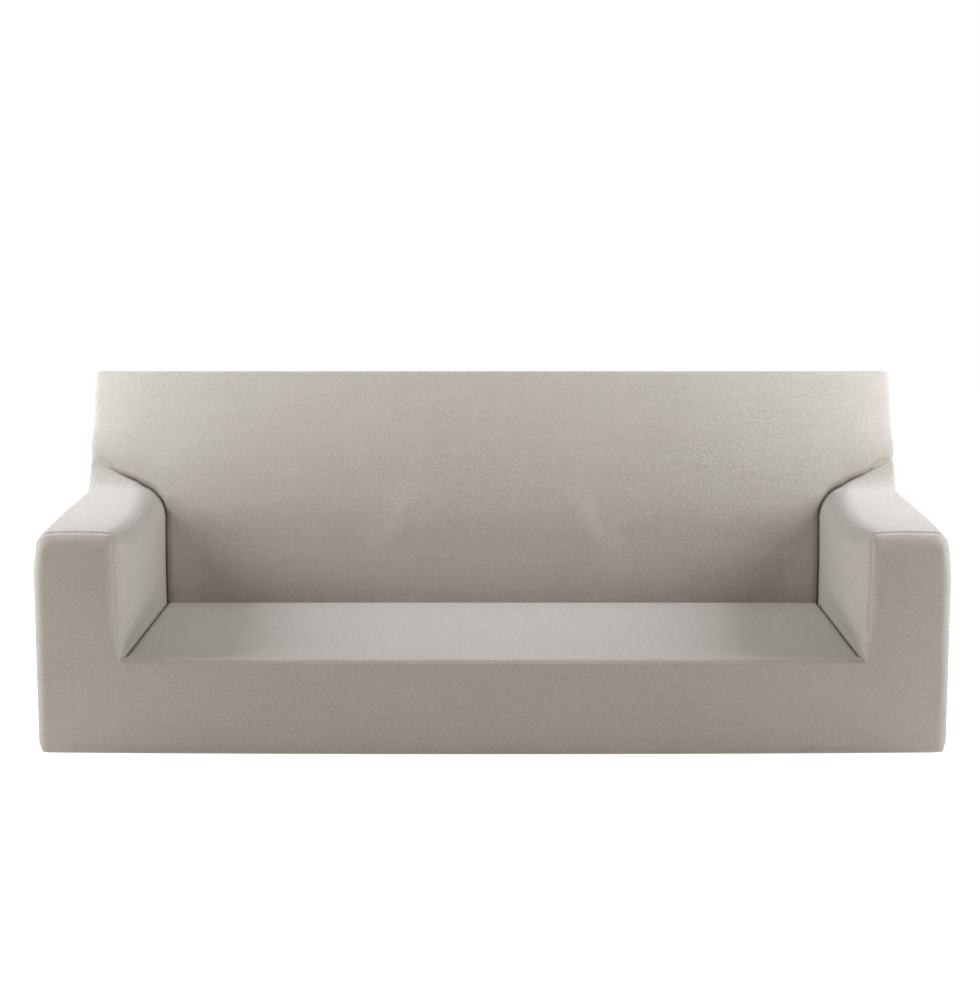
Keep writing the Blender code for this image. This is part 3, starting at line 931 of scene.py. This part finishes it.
bump = nodes.new("ShaderNodeBump")
bump.inputs["Strength"].default_value = BUMP_STRENGTH
bump.inputs["Distance"].default_value = BEAD_HEIGHT
links.new(height, bump.inputs["Height"])
links.new(bump.outputs["Normal"], shader.inputs["Normal"])
print("beads stand", BEAD_HEIGHT * 1000, "mm high")

# %% Uneven yarn
ROW_STREAK = (3.0, 190.0)   # how often the yarn's tone changes, along a row and from row to row
PATCH_SCALE = 5.0           # how often it changes from patch to patch, both ways
STREAK_DETAIL = 1.0
PATCH_DETAIL = 3.0


def tone_noise(times_along, times_up, detail):
    """A soft noise on the grain map, around 0."""
    stretch = nodes.new("ShaderNodeMapping")
    stretch.inputs["Scale"].default_value = (times_along, times_up, 1.0)
    links.new(grain_node.outputs["UV"], stretch.inputs["Vector"])
    noise_node = nodes.new("ShaderNodeTexNoise")
    noise_node.inputs["Scale"].default_value = 1.0
    noise_node.inputs["Detail"].default_value = detail
    links.new(stretch.outputs["Vector"], noise_node.inputs["Vector"])
    return maths("SUBTRACT", noise_node.outputs["Fac"], 0.5)


streaks = tone_noise(*ROW_STREAK, STREAK_DETAIL)
patches = tone_noise(PATCH_SCALE, PATCH_SCALE, PATCH_DETAIL)
print("uneven yarn:", len(nodes), "nodes so far")

# %% Colour
# The gap colour is the yarn with painted shade: the gaps between the beads lie low and are drawn
# darker.
GAP_COLOUR_WITH_PAINTED_SHADE = (0.335, 0.307, 0.264, 1.0)
WARM_BEAD = (0.640, 0.600, 0.518, 1.0)
COOL_BEAD = (0.622, 0.590, 0.530, 1.0)
# Painted shade: a bead darkens towards its edge and in its dimple.
BEAD_PAINTED_SHADE_FALL = 0.6             # how soon a bead darkens towards its edge
DIMPLE_PAINTED_SHADE = 0.45         # how much darker its dimple is
BEAD_TONE = 0.22            # how much the beads differ from each other
YARN_TONE = 0.08
STREAK_TONE = 0.22
PATCH_TONE = 0.16
RESHUFFLE = 7.3             # makes a second number, for its tint, out of each bead's own
ROUGHNESS = 0.92
SHEEN = 0.35
SHEEN_ROUGHNESS = 0.40
SPECULAR = 0.25

# The bead and gap colours are mixed by painted shade that follows the dome and dimple of the bump.
# Tone that differs at random from bead to bead and in streaks and patches is added, along with a
# fine stripe along the upright yarns.
pale_share_with_painted_shade = maths("MULTIPLY_ADD", dimple, -DIMPLE_PAINTED_SHADE, maths("POWER", dome, BEAD_PAINTED_SHADE_FALL))
pale_share_with_painted_shade = maths("MULTIPLY_ADD", maths("SUBTRACT", own, 0.5), BEAD_TONE, pale_share_with_painted_shade)
pale_share_with_painted_shade = maths("MULTIPLY_ADD", yarn, YARN_TONE, pale_share_with_painted_shade)
pale_share_with_painted_shade = maths("MULTIPLY_ADD", streaks, STREAK_TONE, pale_share_with_painted_shade)
pale_share_with_painted_shade = maths("MULTIPLY_ADD", patches, PATCH_TONE, pale_share_with_painted_shade, clamp=True)

# A Mix node has sockets of the same name for each kind of data, and these are its colour ones
COLOUR_A, COLOUR_B = 6, 7
COLOUR_RESULT = 2


def blend_colours(share, first, second):
    node = nodes.new("ShaderNodeMix")
    node.data_type = "RGBA"
    put(share, node.inputs["Factor"])
    put(first, node.inputs[COLOUR_A])
    put(second, node.inputs[COLOUR_B])
    return node.outputs[COLOUR_RESULT]


tint = maths("FRACT", maths("MULTIPLY", own, RESHUFFLE))
bead_colour = blend_colours(tint, WARM_BEAD, COOL_BEAD)
links.new(blend_colours(pale_share_with_painted_shade, GAP_COLOUR_WITH_PAINTED_SHADE, bead_colour), shader.inputs["Base Color"])

shader.inputs["Roughness"].default_value = ROUGHNESS
shader.inputs["Sheen Weight"].default_value = SHEEN
shader.inputs["Sheen Roughness"].default_value = SHEEN_ROUGHNESS
shader.inputs["Specular IOR Level"].default_value = SPECULAR
for piece in cloths.values():
    piece.data.materials.clear()
    piece.data.materials.append(knit)
print("knit:", len(nodes), "nodes")

# %% [markdown]
# ## The cloths in place of the solids
#
# Each cloth takes the place of its plain solid, which is hidden, and hangs from the root body.
# None of them is a plain rectangle.

# %% Hand the cloths to the frame
for name, piece in cloths.items():
    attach(piece, "root")
    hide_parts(name)
print("cloths:", sorted(piece.name for piece in cloths.values()))

# %% [markdown]
# ## Floor and light
#
# A pale floor and soft light, as in a white studio. A wide softbox overhead makes the arms' tops
# the brightest part, and a small one under it lifts the middle of the backrest. Two at each side
# stand behind the plane of the arms' fronts, so they brighten the ends of the backrest and leave
# the fronts in the calmer light from the floor. The floor and the surroundings are white to the
# camera, but give less light than that, or the fronts would look flat. A studio would burn them
# out with lamps of their own, which costs more time and gives the same white.

# %% Floor
FLOOR_SIZE = 14.0
FLOOR_CELLS = 8
FLOOR_COLOUR = (0.86, 0.86, 0.86, 1.0)
FLOOR_ROUGHNESS = 0.8
WHITE = (1.0, 1.0, 1.0, 1.0)
GLOW_NEAR = 0.29            # lit from below, like a photographer's light table
GLOW_FAR = 1.0
GLOW_FROM = 1.7             # metres from the middle, where the glow begins to rise
GLOW_TO = 3.4               # and where it is full

bpy.ops.mesh.primitive_grid_add(
    x_subdivisions=FLOOR_CELLS, y_subdivisions=FLOOR_CELLS, size=FLOOR_SIZE
)
floor = bpy.context.object
floor.name = "floor"
paint = bpy.data.materials.new("pale_floor")
paint.use_nodes = True
floor_nodes, floor_links = paint.node_tree.nodes, paint.node_tree.links
floor_shader = floor_nodes["Principled BSDF"]
floor_shader.inputs["Base Color"].default_value = FLOOR_COLOUR
floor_shader.inputs["Roughness"].default_value = FLOOR_ROUGHNESS
floor_shader.inputs["Emission Color"].default_value = WHITE
floor_place = floor_nodes.new("ShaderNodeTexCoord")
from_middle = floor_nodes.new("ShaderNodeVectorMath")
from_middle.operation = "LENGTH"
glow = floor_nodes.new("ShaderNodeMapRange")
glow.interpolation_type = "SMOOTHSTEP"
glow.inputs["From Min"].default_value = GLOW_FROM
glow.inputs["From Max"].default_value = GLOW_TO
glow.inputs["To Min"].default_value = GLOW_NEAR
glow.inputs["To Max"].default_value = GLOW_FAR
floor_links.new(floor_place.outputs["Object"], from_middle.inputs[0])
floor_links.new(from_middle.outputs["Value"], glow.inputs["Value"])
floor_path = floor_nodes.new("ShaderNodeLightPath")
brighter = floor_nodes.new("ShaderNodeMath")
brighter.operation = "MAXIMUM"
floor_links.new(glow.outputs["Result"], brighter.inputs[0])
floor_links.new(floor_path.outputs["Is Camera Ray"], brighter.inputs[1])
floor_links.new(brighter.outputs["Value"], floor_shader.inputs["Emission Strength"])
floor.data.materials.append(paint)
print("floor:", FLOOR_SIZE, "m")

# %% Softboxes
SOFTBOX_COLOUR = (0.93, 0.97, 1.08)     # a little cooler than the light from the floor
SOFTBOXES = (
    # name, place, aimed at, size, power in watts
    ("overhead", (0.0, 0.1, 3.4), (0.0, 0.0, 0.4), (4.5, 3.0), 20.5),
    ("middle", (0.0, -0.3, 2.1), (0.0, 0.2, 0.7), (1.6, 0.5), 3.0),
    ("side_left", (-2.7, -0.1, 1.7), (-0.6, 0.1, 0.6), (1.4, 1.4), 52.0),
    ("side_right", (2.7, -0.1, 1.7), (0.6, 0.1, 0.6), (1.4, 1.4), 52.0),
    ("near_left", (-1.95, -0.2, 1.25), (-1.0, 0.15, 0.65), (0.9, 0.9), 13.0),
    ("near_right", (1.95, -0.2, 1.25), (1.0, 0.15, 0.65), (0.9, 0.9), 13.0),
)


def softbox(name, place, aim, size, power):
    bpy.ops.object.light_add(type="AREA", location=place)
    lamp = bpy.context.object
    lamp.name = name
    lamp.data.shape = "RECTANGLE"
    lamp.data.size, lamp.data.size_y = size
    lamp.data.energy = power
    lamp.data.color = SOFTBOX_COLOUR
    lamp.rotation_euler = (Vector(aim) - Vector(place)).to_track_quat("-Z", "Y").to_euler()


for settings in SOFTBOXES:
    softbox(*settings)
print("softboxes:", len(SOFTBOXES))

# %% Surroundings
FILL = 0.22                 # how strongly the surroundings light the cover
FILL_COLOUR = (1.0, 0.82, 0.64, 1.0)
BACKDROP = 1.0              # what the camera sees of them

world = bpy.data.worlds.new("studio")
bpy.context.scene.world = world
world.use_nodes = True
world_nodes, world_links = world.node_tree.nodes, world.node_tree.links
fill = world_nodes["Background"]
fill.inputs["Color"].default_value = FILL_COLOUR
fill.inputs["Strength"].default_value = FILL
backdrop = world_nodes.new("ShaderNodeBackground")
backdrop.inputs["Color"].default_value = WHITE
backdrop.inputs["Strength"].default_value = BACKDROP
path = world_nodes.new("ShaderNodeLightPath")
either = world_nodes.new("ShaderNodeMixShader")
world_links.new(path.outputs["Is Camera Ray"], either.inputs["Fac"])
world_links.new(fill.outputs["Background"], either.inputs[1])
world_links.new(backdrop.outputs["Background"], either.inputs[2])
world_links.new(either.outputs["Shader"], world_nodes["World Output"].inputs["Surface"])
bpy.context.scene.view_settings.view_transform = "Standard"
print("surroundings:", FILL, "of white")
